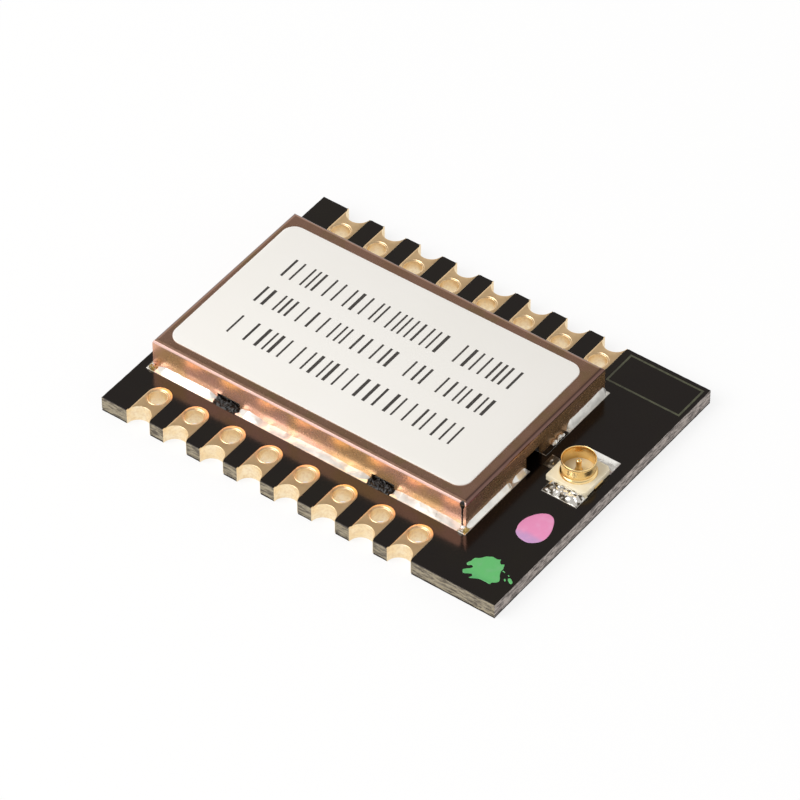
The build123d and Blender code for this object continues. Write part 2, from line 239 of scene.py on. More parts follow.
def make_floor():
    """Pale floor with a faint shadow. Cameras and mirrors see it almost white."""
    mesh = bpy.data.meshes.new("floor")
    reach = 2.0
    corners = [(x, y, 0) for x, y in rectangle(-reach, reach, -reach, reach)]
    mesh.from_pydata(corners, [], [(0, 1, 2, 3)])
    floor = in_scene("floor", mesh)
    material = bpy.data.materials.new("studio_floor")
    material.use_nodes = True
    material.node_tree.nodes.clear()
    build = Shading(material.node_tree)
    paper = build.add("ShaderNodeBsdfDiffuse", {"Color": (0.97, 0.97, 0.97, 1)})
    glow = build.add("ShaderNodeEmission", {"Color": (1, 1, 1, 1), "Strength": 1.0})
    rays = build.add("ShaderNodeLightPath").outputs
    seen = build.math("MAXIMUM", rays["Is Camera Ray"], rays["Is Glossy Ray"])
    seen = build.math("MAXIMUM", seen, rays["Is Transmission Ray"])
    share = build.math("MULTIPLY", seen, 0.80)
    shown = build.add("ShaderNodeMixShader", {0: share, 1: paper.outputs[0], 2: glow.outputs[0]})
    build.add("ShaderNodeOutputMaterial", {"Surface": shown.outputs[0]})
    mesh.materials.append(material)


def make_world():
    """Studio room: white round the horizon and a dimmer ceiling."""
    world = bpy.data.worlds.new("studio")
    bpy.context.scene.world = world
    world.use_nodes = True
    world.node_tree.nodes.clear()
    build = Shading(world.node_tree)
    height = build.split(build.add("ShaderNodeTexCoord").outputs["Generated"])["Z"]
    room = build.mix(build.ramp(height, 0.42, 0.67), (1.0, 1.0, 1.0), (0.40, 0.385, 0.37))
    rays = build.add("ShaderNodeLightPath").outputs
    colour = build.mix(rays["Is Camera Ray"], room, (1.0, 1.0, 1.0))
    sky = build.add("ShaderNodeBackground", {"Color": colour, "Strength": 1.0})
    build.add("ShaderNodeOutputWorld", {"Surface": sky.outputs[0]})


def make_studio():
    """Floor, room and one large soft lamp."""
    make_floor()
    make_world()
    make_key_lamp()
    bpy.context.scene.view_settings.view_transform = "Standard"


# Effects that several finishes share
def new_group(name, inputs, outputs):
    """Empty node group, as its builder, the values that it is given and its last node."""
    group = bpy.data.node_groups.new(name, "ShaderNodeTree")
    for label, default in inputs.items():
        socket = group.interface.new_socket(label, in_out="INPUT", socket_type="NodeSocketFloat")
        socket.default_value = default
    for label, kind in outputs.items():
        group.interface.new_socket(label, in_out="OUTPUT", socket_type="NodeSocket" + kind)
    build = Shading(group)
    return build, build.add("NodeGroupInput").outputs, build.add("NodeGroupOutput")


def group_mottle():
    """Soft patches between 0 and 1, at a size in millimetres."""
    inputs = {"Size": 1.0, "Detail": 3.0, "Low": 0.35, "High": 0.65}
    build, given, last = new_group("mottle", inputs, {"Mask": "Float"})
    cloud = build.cloud(given["Size"], given["Detail"])
    build.plug(last, {"Mask": build.ramp(cloud, given["Low"], given["High"])})


def group_waves():
    """Normal of a surface that isn't quite flat, with fine grain on it."""
    inputs = {"Wave Size": 2.0, "Wave Height": 0.01, "Grain Size": 0.1, "Grain Height": 0.001}
    build, given, last = new_group("waves", inputs, {"Normal": "Vector"})
    waves, grain = [
        build.math("MULTIPLY", build.cloud(given[f"{kind} Size"], 2.0), given[f"{kind} Height"])
        for kind in ("Wave", "Grain")
    ]
    height = build.math("ADD", waves, grain)
    bump = build.add("ShaderNodeBump", {"Distance": MM, "Height": height})
    build.plug(last, {"Normal": bump.outputs["Normal"]})


def group_facing_up():
    """1 where a surface looks up or down, 0 where it stands upright."""
    build, given, last = new_group("facing_up", {"Edge": 0.5}, {"Mask": "Float"})
    up = build.math("ABSOLUTE", build.facing()["Z"])
    build.plug(last, {"Mask": build.ramp(up, given["Edge"], build.math("ADD", given["Edge"], 0.3))})


def group_bends():
    """Masks of a can's bends, of the near bend's two halves, and of what faces the jack, where shade
    and a highlight are painted.
    """
    outputs = dict.fromkeys(("Mask", "PaintedHighlight", "PaintedShade", "Front"), "Float")
    build, given, last = new_group("bends", {}, outputs)
    parts = build.facing()
    up = build.math("ABSOLUTE", parts["Z"])
    whole = build.math("MULTIPLY", build.ramp(up, 0.04, 0.3), build.ramp(up, 0.965, 0.90))
    near = build.math("MULTIPLY", build.ramp(parts["Y"], -0.12, -0.26), whole)
    # Painted highlight on the near bend's lower half, painted shade on its upper half
    worn = build.math("MULTIPLY", near, build.ramp(up, 0.68, 0.56))
    dull = build.math("SUBTRACT", near, worn)
    front = build.ramp(parts["X"], 0.6, 0.9)
    build.plug(last, {"Mask": whole, "PaintedHighlight": worn, "PaintedShade": dull, "Front": front})


class Finish(Shading):
    """Builder of one material, with the shared effects at hand."""

    def __init__(self, name):
        self.material = bpy.data.materials.new(name)
        self.material.use_nodes = True
        super().__init__(self.material.node_tree)

    def use(self, name, *values):
        """One of the shared effects, with this finish's own values in the order of its inputs."""
        group = bpy.data.node_groups[name]
        return self.add("ShaderNodeGroup", dict(enumerate(values)), node_tree=group).outputs

    def patches(self, size, detail=3.0, low=0.35, high=0.7):
        """Mask of soft patches of that size, in millimetres."""
        return self.use("mottle", size, detail, low, high)["Mask"]

    def relief(self, wave_size, wave_height, grain_size, grain_height):
        """Normal of a surface with those waves and that grain, in millimetres."""
        return self.use("waves", wave_size, wave_height, grain_size, grain_height)["Normal"]

    def done(self, colour, **sockets):
        """The material, with its colour and these values on its main shader."""
        values = {label.replace("_", " "): value for label, value in sockets.items()}
        self.plug(self.tree.nodes["Principled BSDF"], {"Base Color": colour, **values})
        return self.material


def two_tone(name, patch, first, second, surface, **sockets):
    """Finish in patches of two colours, by its patches and its relief."""
    build = Finish(name)
    colour = build.mix(build.patches(*patch), first, second)
    return build.done(colour, Normal=build.relief(*surface), **sockets)


# Finishes, one for each slot of the record and a few more for solder
def shield_metal():
    """Tarnished nickel silver: pink, copper and olive brown, a little wavy, finely brushed, with
    painted shade and light by the way each face turns.
    """
    build = Finish("shield_metal")
    broad = build.patches(2.6, 2.0, 0.38, 0.62)
    olive = build.patches(1.3, 3.0, 0.48, 0.70)
    fine = build.patches(0.25, 3.0, 0.3, 0.75)
    top = build.use("facing_up", 0.6)["Mask"]
    bend = build.use("bends")
    # The top gets a darker colour than the walls of the same sheet: painted shade on the top, painted
    # light on the walls
    sheet = build.mix(broad, (0.39, 0.225, 0.160), (0.365, 0.21, 0.135))
    sheet = build.tint(olive, 0.6, sheet, (0.33, 0.225, 0.115))
    wall = build.mix(broad, (0.82, 0.43, 0.31), (0.76, 0.44, 0.20))
    # Painted shade on the wall that faces the jack
    wall = build.tint(bend["Front"], 0.6, wall, (0.36, 0.21, 0.10))
    colour = build.mix(top, wall, sheet)
    # Painted shade along all the bends
    colour = build.mix(bend["Mask"], colour, (0.17, 0.095, 0.078))
    # Painted shade on the near bend's upper half, and a pale pink painted highlight on its lower half
    colour = build.mix(bend["PaintedShade"], colour, (0.060, 0.034, 0.022))
    colour = build.mix(bend["PaintedHighlight"], colour, (0.92, 0.62, 0.55))
    colour = build.tint(fine, 0.06, colour, (0.34, 0.24, 0.19))
    roughness = build.math("MULTIPLY_ADD", fine, 0.04, 0.24)
    roughness = build.math("MULTIPLY_ADD", bend["Mask"], -0.10, roughness)
    metal = build.math("MULTIPLY_ADD", build.math("MAXIMUM", top, bend["Mask"]), 0.25, 0.75)
    return build.done(colour, Metallic=metal, Roughness=roughness,
                      Normal=build.relief(3.0, 0.012, 0.15, 0.0003))


def gold_plate():
    """Gold over nickel and copper: tan on the flats, pale and grainy on the drilled walls and sloped
    rims, where the paler gold is painted light.
    """
    build = Finish("gold_plate")
    flat = build.use("facing_up", 0.62)["Mask"]
    cloud = build.patches(0.55, 4.0, 0.3, 0.7)
    tan = build.mix(cloud, (0.93, 0.66, 0.37), (0.86, 0.60, 0.33))
    # Painted light: upright walls and sloped rims get a paler gold than the flats
    pale = build.mix(cloud, (1.0, 0.86, 0.62), (0.96, 0.77, 0.48))
    pale = build.tint(build.patches(0.16, 3.0, 0.42, 0.68), 0.45, pale, (0.80, 0.58, 0.34))
    return build.done(build.mix(flat, pale, tan), Metallic=1.0,
                      Roughness=build.math("MULTIPLY_ADD", flat, -0.16, 0.46),
                      Normal=build.relief(0.3, 0.008, 0.07, 0.002))


def solder_mask():
    """Glossy black resist over copper: nearly flat, with the faintest relief of the tracks."""
    return two_tone("solder_mask", (2.4,), (0.0020, 0.0012, 0.0014), (0.0030, 0.0024, 0.0010),
                    (1.3, 0.004, 0.16, 0.0006), Roughness=0.15,
                    Specular_IOR_Level=0.46, Specular_Tint=(1.0, 0.88, 0.80, 1))


def laminate():
    """Milled edge of glass-fibre laminate: layers of cloth seen end on, and the mill's scratches."""
    build = Finish("laminate")
    place = build.place()

    def strands(scale, stretch, turn):
        """Long noise along the edge, tilted by that turn."""
        values = {"Vector": place, "Rotation": (turn, -turn, 0.0), "Scale": (1.0, 1.0, stretch)}
        mapped = build.add("ShaderNodeMapping", values).outputs[0]
        values = {"Vector": mapped, "Scale": scale / MM, "Detail": 4.0, "Roughness": 0.65}
        return build.add("ShaderNodeTexNoise", values).outputs["Fac"]

    layers = strands(1.5, 5.0, 0.0)
    scratches = strands(3.6, 3.2, 0.5)
    fibres = build.ramp(layers, 0.43, 0.58)
    marks = build.ramp(scratches, 0.48, 0.62)
    near = build.mix(fibres, (0.085, 0.066, 0.043), (0.32, 0.27, 0.180))
    near = build.tint(marks, 0.55, near, (0.34, 0.295, 0.22))
    front = build.mix(fibres, (0.085, 0.066, 0.060), (0.46, 0.40, 0.365))
    front = build.tint(marks, 0.5, front, (0.50, 0.44, 0.395))
    colour = build.mix(build.ramp(build.facing()["X"], 0.5, 0.8), near, front)
    height = build.math("ADD", layers, scratches)
    bump = build.add("ShaderNodeBump", {"Distance": MM * 0.05, "Height": height})
    return build.done(colour, Roughness=0.6, Normal=bump.outputs[0])


def solder_finish(name, fluxed, roughness, bright=(0.96, 0.94, 0.885),
                  residue=(0.10, 0.08, 0.055)):
    """Solder of that colour with that share of it under flux."""
    build = Finish(name)
    dim = tuple(0.86 * share for share in bright)
    colour = build.mix(build.patches(0.5, 4.0), bright, dim)
    cover = build.patches(0.32, 3.0, 0.68 - fluxed, 0.78 - fluxed)
    return build.done(build.mix(cover, colour, residue), Metallic=0.7,
                      Roughness=roughness, Normal=build.relief(0.45, 0.012, 0.07, 0.0012))


def solder():
    """Bright solder with the odd speck of flux."""
    return solder_finish("solder", 0.0, 0.27)


def dull_tin():
    """Tinned land gone mauve and dull."""
    return solder_finish("dull_tin", -0.06, 0.42, (0.62, 0.55, 0.55))


def amber_solder():
    """Solder under a film of amber flux."""
    return solder_finish("amber_solder", 0.24, 0.22, residue=(0.42, 0.29, 0.09))


def fluxed_solder():
    """Solder left dark and mottled by flux."""
    return solder_finish("fluxed_solder", 0.2, 0.2)


def stained_solder():
    """Solder almost wholly under dark flux."""
    return solder_finish("stained_solder", 0.34, 0.3)


def flux():
    """Dark glossy flux residue, also laid as painted shade in the can's seam and its near reliefs."""
    return two_tone("flux", (0.3, 3.0, 0.3, 0.7), (0.002, 0.0014, 0.0012), (0.012, 0.007, 0.004),
                    (0.2, 0.01, 0.05, 0.001), Roughness=0.07, Specular_IOR_Level=0.3)


def label_paper():
    """White label film with a soft sheen."""
    return two_tone("label_paper", (5.0, 2.0, 0.3, 0.7), (0.875, 0.855, 0.815),
                    (0.865, 0.845, 0.80), (3.5, 0.006, 0.1, 0.0006),
                    Roughness=0.55, Specular_IOR_Level=0.3)


def jack_gold():
    """Bright drawn gold contact."""
    return two_tone("jack_gold", (0.6,), (0.91, 0.69, 0.34), (0.84, 0.58, 0.25),
                    (0.6, 0.004, 0.06, 0.0006), Metallic=1.0, Roughness=0.2)


def jack_moulding():
    """Ivory moulding of the jack."""
    return two_tone("jack_moulding", (0.8,), (0.92, 0.83, 0.63), (0.87, 0.76, 0.52),
                    (0.7, 0.004, 0.08, 0.001), Roughness=0.42)


def ink(name, body, thin, second, turn_y):
    """Marker ink with streaks where it lies thin, and a second hue below one place along Y."""
    build = Finish(name)
    streaks = build.patches(0.5, 4.0, 0.45, 0.8)
    level = build.math("MULTIPLY_ADD", streaks, 0.3 * MM, build.split(build.place())["Y"])
    lower = build.ramp(level, (turn_y + 0.25) * MM, (turn_y - 0.25) * MM)
    colour = build.tint(streaks, 0.5, build.mix(lower, body, second), thin)
    return build.done(colour, Roughness=0.5, Normal=build.relief(0.4, 0.004, 0.07, 0.001))


def pink_ink():
    """Pink marker ink."""
    return ink("pink_ink", (0.84, 0.29, 0.52), (0.85, 0.42, 0.64), (0.60, 0.33, 0.60), -4.75)


def green_ink():
    """Green marker ink."""
    return ink("green_ink", (0.12, 0.49, 0.15), (0.22, 0.46, 0.25), (0.09, 0.42, 0.13), -8.9)


def label_print():
    """Dark print, a little worn through."""
    build = Finish("label_print")
    worn = build.patches(0.12, 3.0, 0.5, 0.85)
    colour = build.tint(worn, 0.35, (0.035, 0.03, 0.026), (0.30, 0.28, 0.25))
    return build.done(colour, Roughness=0.5, Normal=build.relief(0.3, 0.001, 0.05, 0.0005))


def board_print():
    """Faint olive marking under the gloss of the resist."""
    return two_tone("board_print", (0.35, 3.0, 0.35, 0.75), (0.082, 0.085, 0.048),
                    (0.042, 0.042, 0.027), (0.4, 0.001, 0.08, 0.0005), Roughness=0.28)


def chip_black():
    """Moulded black chip pack."""
    return two_tone("chip_black", (0.6,), (0.030, 0.030, 0.030), (0.045, 0.044, 0.042),
                    (0.5, 0.002, 0.05, 0.0015), Roughness=0.55)


def crystal_lid():
    """Plated lid of the crystal's pack."""
    return two_tone("crystal_lid", (0.5,), (0.66, 0.63, 0.58), (0.58, 0.55, 0.50),
                    (0.5, 0.002, 0.05, 0.001), Metallic=1.0, Roughness=0.35)


def ceramic():
    """Ceramic body of a chip part."""
    return two_tone("ceramic", (0.3,), (0.42, 0.30, 0.19), (0.50, 0.37, 0.25),
                    (0.3, 0.002, 0.05, 0.0015), Roughness=0.5)


# Lands that carry another finish than the record's slot
land_finishes = {"shield_land": "solder", "coax_ground_land_far": "dull_tin"}


def dress_frame():
    """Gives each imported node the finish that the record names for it."""
    for part in frame["record"]["subparts"]:
        mesh = nodes[part["node"]].data
        mesh.materials.clear()
        finish = land_finishes.get(part["node"], part["material_slot"])
        mesh.materials.append(materials[finish])


def show(name, shape, slot_name, replaced=(), finish=None, sharp=40):
    """Makes a piece from vertices in millimetres and faces, and joins it to the frame."""
    verts, faces = shape
    mesh = bpy.data.meshes.new(name)
    mesh.from_pydata([Vector(v) * MM for v in verts], [], faces)
    cleaner = bmesh.new()
    cleaner.from_mesh(mesh)
    bmesh.ops.remove_doubles(cleaner, verts=cleaner.verts, dist=touching * MM)
    bmesh.ops.recalc_face_normals(cleaner, faces=cleaner.faces)
    cleaner.to_mesh(mesh)
    cleaner.free()
    mesh.shade_smooth()
    mesh.set_sharp_from_angle(angle=math.radians(sharp))
    mesh.materials.append(materials[finish or slot_name])
    thing = in_scene(name, mesh)
    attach(thing, "root")
    if replaced:
        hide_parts(*replaced)


def join(*shapes):
    """One shape from several."""
    verts, faces = [], []
    for some_verts, some_faces in shapes:
        start = len(verts)
        verts += some_verts
        faces += [tuple(start + i for i in face) for face in some_faces]
    return verts, faces


def bands(rings, caps=True):
    """Skin over closed rings of vertices that follow one another."""
    count = len(rings[0])
    verts = [vertex for ring in rings for vertex in ring]
    faces = []
    for low in range(0, (len(rings) - 1) * count, count):
        for i in range(count):
            j = (i + 1) % count
            faces.append((low + i, low + j, low + count + j, low + count + i))
    if caps:
        faces.append(tuple(range(count - 1, -1, -1)))
        faces.append(tuple(range((len(rings) - 1) * count, len(rings) * count)))
    return verts, faces


def drawn_in(outline, distance):
    """Outline moved to its inside. It runs anticlockwise."""
    moved = []
    for i, (x, y) in enumerate(outline):
        here = Vector((x, y))
        before = (here - Vector(outline[i - 1])).normalized()
        after = (Vector(outline[(i + 1) % len(outline)]) - here).normalized()
        way = (before + after).normalized()
        moved.append((x - way.y * distance, y + way.x * distance))
    return moved


def sheet(outline, levels):
    """Thin piece over an outline. Each level is an inset and a height."""
    return bands([[(*point, height) for point in drawn_in(outline, inset)] for inset, height in levels])


def turned(profile, centre, steps=96):
    """Closed profile of radii and heights, turned round an upright axis."""
    x, y = centre
    turns = [2 * math.pi * (i % steps) / steps for i in range(steps + 1)]
    rings = [[(x + r * math.cos(t), y + r * math.sin(t), z) for r, z in profile] for t in turns]
    return bands(rings, caps=False)


def rectangle(low_x, high_x, low_y, high_y):
    """Outline of a rectangle, anticlockwise."""
    return [(low_x, low_y), (high_x, low_y), (high_x, high_y), (low_x, high_y)]


def rounded_rectangle(length, width, radius):
    """Outline of a rectangle with round corners about the origin, anticlockwise."""
    x, y = length / 2 - radius, width / 2 - radius
    outline = []
    for start, centre in zip((0, 90, 180, 270), ((x, y), (-x, y), (-x, -y), (x, -y))):
        outline += arc(centre, radius, start, start + 90, 10)
    return outline


def softened(outline, rounds=2):
    """Closed outline with its corners cut again and again."""
    for _ in range(rounds):
        sides = zip(outline, outline[1:] + outline[:1])
        outline = [(s * x + (1 - s) * u, s * y + (1 - s) * v)
                   for (x, y), (u, v) in sides for s in (0.75, 0.25)]
    return outline


def arc(centre, radius, start, end, steps):
    """Points on an arc, in degrees."""
    turns = [math.radians(start + (end - start) * i / steps) for i in range(steps + 1)]
    return [(centre[0] + radius * math.cos(t), centre[1] + radius * math.sin(t)) for t in turns]


def ripple(place, size, seed):
    """Smooth noise from -1 to 1 with lumps of that size, in millimetres."""
    return noise.noise(Vector(place) / size + Vector((seed * 7.3, seed * 3.1, seed * 1.7)))


def held(value):
    """Value held between 0 and 1."""
    return min(1.0, max(0.0, value))


def share_at(table, place):
    """Value of a table of places and values at one place."""
    for (low, first), (high, second) in zip(table, table[1:]):
        if place <= high:
            return first + (second - first) * (place - low) / (high - low)
    return table[-1][1]


def skin(build, rings, closed=True):
    """Quads between the rings, one after another, of a mesh in the making."""
    for lower, upper in zip(rings, rings[1:]):
        for i in range(len(lower) if closed else len(lower) - 1):
            j = (i + 1) % len(lower)
            build.faces.new((lower[i], lower[j], upper[j], upper[i]))


def fill(build, *loops):
    """Flat face between closed rings of a mesh in the making."""
    pairs = [pair for loop in loops for pair in zip(loop, loop[1:] + loop[:1])]
    edges = [build.edges.get(pair) or build.edges.new(pair) for pair in pairs]
    bmesh.ops.triangle_fill(build, edges=edges, use_beauty=True)


def lined(build, thickness):
    """Closes an open skin with an inner side at that distance, and a rim along its border."""
    bmesh.ops.recalc_face_normals(build, faces=build.faces)
    top = max(build.faces, key=lambda face: face.calc_center_median().z)
    if top.normal.z < 0:
        bmesh.ops.reverse_faces(build, faces=build.faces)
    build.normal_update()
    faces = list(build.faces)
    border = [edge.link_loops[0] for edge in build.edges if edge.is_boundary]
    border = [(loop.vert, loop.link_loop_next.vert) for loop in border]
    inner = {v: build.verts.new(v.co - v.normal * thickness) for v in list(build.verts)}
    for face in faces:
        build.faces.new([inner[v] for v in reversed(face.verts)])
    for a, b in border:
        build.faces.new((b, a, inner[a], inner[b]))


def finished(build):
    """Shape of a mesh in the making, which ends here."""
    verts = [tuple(v.co) for v in build.verts]
    build.verts.index_update()
    faces = [tuple(v.index for v in f.verts) for f in build.faces]
    build.free()
    return verts, faces


# Points of a half hole are given along the board's edge and in from it
def way_out(radius):
    """Centre of the round exit of a half hole of that radius, and the angle where they meet."""
    reach = math.sqrt((radius + exit_radius) ** 2 - exit_radius**2)
    return (reach, exit_radius), math.degrees(math.atan2(exit_radius, reach))


def notch_outline():
    """Edge of the board round one half hole, from left to right."""
    radius = notch_radius + plating
    centre, join_angle = way_out(radius)
    hollow = arc((0, 0), radius, 180, join_angle, 24)
    return hollow + arc(centre, exit_radius, 180 + join_angle, 270, 6)[1:]


def pad_outline(inset, notch):
    """Half hole of that radius, and the whole outline of a pad drawn in by an inset."""
    half = pad_width / 2 - inset
    end_v = pad_length - pad_width / 2
    corner = math.degrees(math.acos(half / notch))
    hollow = arc((0, 0), notch, 180 - corner, corner, 20)
    low_v = hollow[0][1]
    right = [(half, low_v + (end_v - low_v) * i / 6) for i in range(1, 6)]
    left = [(-half, v) for _, v in reversed(right)]
    return hollow, hollow + right + arc((0, end_v), half, 0, 180, 24) + left


def pin_shape(x, row):
    """One plated pin: a pad with a soft rim, a drilled hole and half a hole in the edge."""
    build = bmesh.new()
    rim_low = mask_top - rim_sink

    def ring(points, height):
        """Ring of vertices at one height."""
        return [build.verts.new((x + u, row * (edge_y - v), height)) for u, v in points]

    def hole(radius, height):
        """Ring of the drilled hole."""
        mouth = arc((0, hole_inset), 1.0, 0, 350, 35)
        return ring([(u * radius, hole_inset + (v - hole_inset) * radius) for u, v in mouth], height)

    loops = []
    for stage in range(6):
        turn = math.radians(90 * stage / 5)
        drop = 1 - math.cos(turn)
        hollow, points = pad_outline(rim_width * drop, notch_radius + notch_round * drop)
        loop = ring(points, rim_low + (land_top - rim_low) * math.sin(turn))
        for vertex in loop[1 : len(hollow) - 1]:
            vertex.co.z = land_top - notch_round * (1 - math.sin(turn))
        loops.append(loop)
    skin(build, loops)

    # Groove, soft lip and wall of the drilled hole
    lip = hole_radius + hole_round
    holes = [hole(lip + groove_width, land_top),
             hole(lip + 0.6 * groove_width, land_top - groove_depth),
             hole(lip + 0.3 * groove_width, land_top - groove_depth)]
    for stage in range(5):
        turn = math.radians(90 * stage / 4)
        lip = hole_radius + hole_round * (1 - math.sin(turn))
        holes.append(hole(lip, land_top - hole_round * (1 - math.cos(turn))))
    holes.append(hole(hole_radius, pin_foot))
    for upper, lower in zip(holes, holes[1:]):
        skin(build, (lower, upper))
    fill(build, loops[-1], holes[0])

    # Wall of the half hole, past the pad's corners on both sides
    centre, join_angle = way_out(notch_radius)
    corner = math.degrees(math.acos(pad_width / 2 / notch_radius))
    hollow, foot_outline = pad_outline(0.0, notch_radius)
    before = arc((0, 0), notch_radius, 180, 180 - corner, 4)
    bend = arc(centre, exit_radius, 180 + join_angle, 205 + join_angle, 4)
    wall = before[:-1] + hollow + bend
    skin(build, (ring(wall, pin_foot), ring(wall, land_top - notch_round)), False)
    for stretch in (before, [hollow[-1]] + bend):
        outer = [Vector(p) for p in stretch]
        outer = [p * (1 + plating / max(p.length, notch_radius)) for p in outer]
        lip = [(p.x, p.y) for p in outer]
        rise = [((a[0] + b[0]) / 2, (a[1] + b[1]) / 2) for a, b in zip(stretch, lip)]
        skin(build, (ring(stretch, land_top - notch_round), ring(rise, land_top - plating * 0.2),
                     ring(lip, land_top), ring(lip, mask_top - plating)), False)

    # Solder face on the underside
    fill(build, ring(foot_outline, pin_foot), holes[-1])
    bmesh.ops.remove_doubles(build, verts=build.verts, dist=0.0005)
    lined(build, lining)
    for vertex in build.verts:
        vertex.co.y = max(-edge_y, min(edge_y, vertex.co.y))
    return finished(build)


def make_pins():
    """Two rows of plated pins."""
    for row_name, row in (("near", -1), ("far", 1)):
        for i, x in enumerate(pin_places, 1):
            node = f"castellation_{row_name}_{i}"
            show(f"pin_{row_name}_{i}", pin_shape(x, row), "gold_plate", [node], sharp=30)


def board_outline():
    """Outline of the board, anticlockwise, with a flag at each point of its milled edges."""
    points = []

    def run(start, end):
        """Straight milled edge, with its first point and not its last."""
        start, end = Vector(start), Vector(end)
        count = max(1, round((end - start).length / edge_step))
        points.extend(((*start.lerp(end, i / count),), True) for i in range(count))

    notch = notch_outline()
    for side, places, hollow in ((-1, pin_places, notch), (1, pin_places[::-1], notch[::-1])):
        y = side * edge_y
        place = (side * edge_x, y)
        for x in places:
            run(place, (x + hollow[0][0], y))
            points.extend(((x + u, side * (edge_y - v)), False) for u, v in hollow[:-1])
            place = (x + hollow[-1][0], y)
        run(place, (-side * edge_x, y))
        run((-side * edge_x, y), (-side * edge_x, -y))
    return points


def plate(levels, roughness):
    """Layer of the board. Each level is an inset and a height. It has the header holes."""
    build = bmesh.new()
    outline = board_outline()
    inside = drawn_in([point for point, _ in outline], 1.0)
    rings = []
    for inset, height in levels:
        ring = []
        for ((x, y), milled), (in_x, in_y) in zip(outline, inside):
            depth = inset
            if milled:
                depth += roughness * (0.5 + 0.5 * ripple((x, y, height * 3), 0.3, 41))
            away = Vector((in_x - x, in_y - y)).normalized() * depth
            ring.append(build.verts.new((x + away.x, y + away.y, height)))
        rings.append(ring)
    skin(build, rings)
    drilled = []
    for row in (-1, 1):
        for x in pin_places:
            circle = arc((x, row * (edge_y - hole_inset)), board_hole_radius, 0, 345, 23)
            pair = [[build.verts.new((*point, height)) for point in circle]
                    for height in (levels[0][1], levels[-1][1])]
            skin(build, pair)
            drilled.append(pair)
    fill(build, rings[0], *[pair[0] for pair in drilled])
    fill(build, rings[-1], *[pair[1] for pair in drilled])
    return finished(build)


def make_board():
    """Laminate with its milled edges, and the resist on both sides of it."""
    low, high = board_low.z, board_high.z
    heights = [low + (high - low) * i / 9 for i in range(10)]
    levels = [(mill_depth if i == 0 else 0.0, height) for i, height in enumerate(heights)]
    show("laminate_body", plate(levels, mill_depth), "laminate", ["board_laminate"], sharp=50)
    for name, levels in (
        ("top", [(resist_inset, high), (resist_inset, mask_top - 0.01), (resist_round, mask_top)]),
        ("bottom", [(resist_round, 0.004), (resist_inset, 0.012), (resist_inset, low)]),
    ):
        shape = plate(levels, resist_wear)
        show(f"resist_{name}", shape, "solder_mask", [f"solder_mask_{name}"], sharp=20)


def bead(start, along, out, length, leg, height, seed, profile):
    """Run of solder in the corner between the land and a wall, as high as its profile says."""
    start, along, out = Vector(start), Vector(along), Vector(out)
    steps = max(10, round(length / 0.05))
    points = 11
    rings = []
    for i in range(steps + 1):
        run = length * i / steps
        end = min(run, length - run)
        taper = math.sqrt(max(0.02, min(1.0, end / (1.3 * leg))))
        swell = 1 + bead_lumps * ripple((run, 0, 0), 0.7, seed)
        swell += 0.4 * bead_lumps * ripple((run, 0, 0), 0.22, seed + 3)
        part = share_at(profile, run / length)
        tall = min(height * taper * swell * part, height * 1.1)
        wave = 1 + 0.5 * bead_lumps * ripple((run, 0, 9), 0.5, seed)
        wide = min(leg * taper * wave, leg + 0.02)
        wide *= 0.6 + 0.4 * min(1.0, part / 0.4)
        ring = []
        for j in range(points):
            share = j / (points - 1)
            belly = 0.03 * min(tall, wide) * math.sin(math.pi * share)
            belly += 0.004 * ripple((run, share * 0.6, 4), 0.2, seed) * math.sin(math.pi * share)
            spot = start + along * run + out * (wide * share + belly * 0.7)
            ring.append(tuple(spot + Vector((0, 0, tall * (1 - share) + belly * 0.7))))
        ring.append(tuple(start + along * run))
        rings.append(ring)
    return bands(rings)


# Height of each run of solder along its length, as shares of the run and of the full height
level_bead = ((0, 1), (1, 1))
bead_heights = {
    "shield_solder_near_1": ((0, 0.6), (0.1, 0.85), (0.5, 0.9), (1, 0.95)),
    "shield_solder_near_2": (
        (0, 0.8), (0.08, 0.82), (0.16, 0.55), (0.226, 0.12), (0.27, 0.45), (0.36, 0.42),
        (0.4, 0.14), (0.44, 0.42), (0.6, 0.55), (0.78, 0.56), (0.835, 0.36), (0.9, 0.55), (1, 0.6)),
    "shield_solder_near_3": (
        (0, 0.6), (0.1, 0.66), (0.5, 0.66), (0.75, 0.58), (0.85, 0.42), (1, 0.28)),
}


def make_shield_solder():
    """Solder along the foot of each wall of the can, as lumpy as it was laid."""
    for node in [n for n in nodes if n.startswith("shield_solder_")]:
        wall = node.split("_")[2]
        low, high = box_mm(node)
        way = 0 if wall in ("near", "far") else 1
        low[way] = max(low[way] - bead_reach, land_low[way] + land_rim)
        high[way] = min(high[way] + bead_reach, land_high[way] - land_rim)
        if node.endswith("near_3"):
            high.x = can_high.x + corner_reach
        if node.endswith("front_far"):
            high.y = can_high.y + 0.12
        length, leg = (high - low)[way], (high - low)[1 - way]
        seed = sum(map(ord, node)) % 97
        spot = {
            "near": ((low.x, high.y, land_top), (1, 0, 0), (0, -1, 0)),
            "far": ((low.x, low.y, land_top), (1, 0, 0), (0, 1, 0)),
            "front": ((low.x, low.y, land_top), (0, 1, 0), (1, 0, 0)),
            "rear": ((high.x, low.y, land_top), (0, 1, 0), (-1, 0, 0)),
        }[wall]
        profile = bead_heights.get(node, level_bead)
        shape = bead(*spot, length, leg, (high - low).z, seed, profile)
        show(node.replace("shield_solder", "solder_bead"), shape, "solder", [node], sharp=60)


def heap(low_x, high_x, low_y, high_y, step, height):
    """Lumpy patch over a rectangle. The height comes from a function of x and y."""
    across = max(3, round((high_x - low_x) / step))
    deep = max(3, round((high_y - low_y) / step))
    foot = mask_top - 0.02
    rings = []
    for i in range(across + 1):
        x = low_x + (high_x - low_x) * i / across
        rows = [low_y + (high_y - low_y) * j / deep for j in range(deep + 1)]
        rings.append([(x, y, height(x, y)) for y in rows] + [(x, high_y, foot), (x, low_y, foot)])
    return bands(rings)


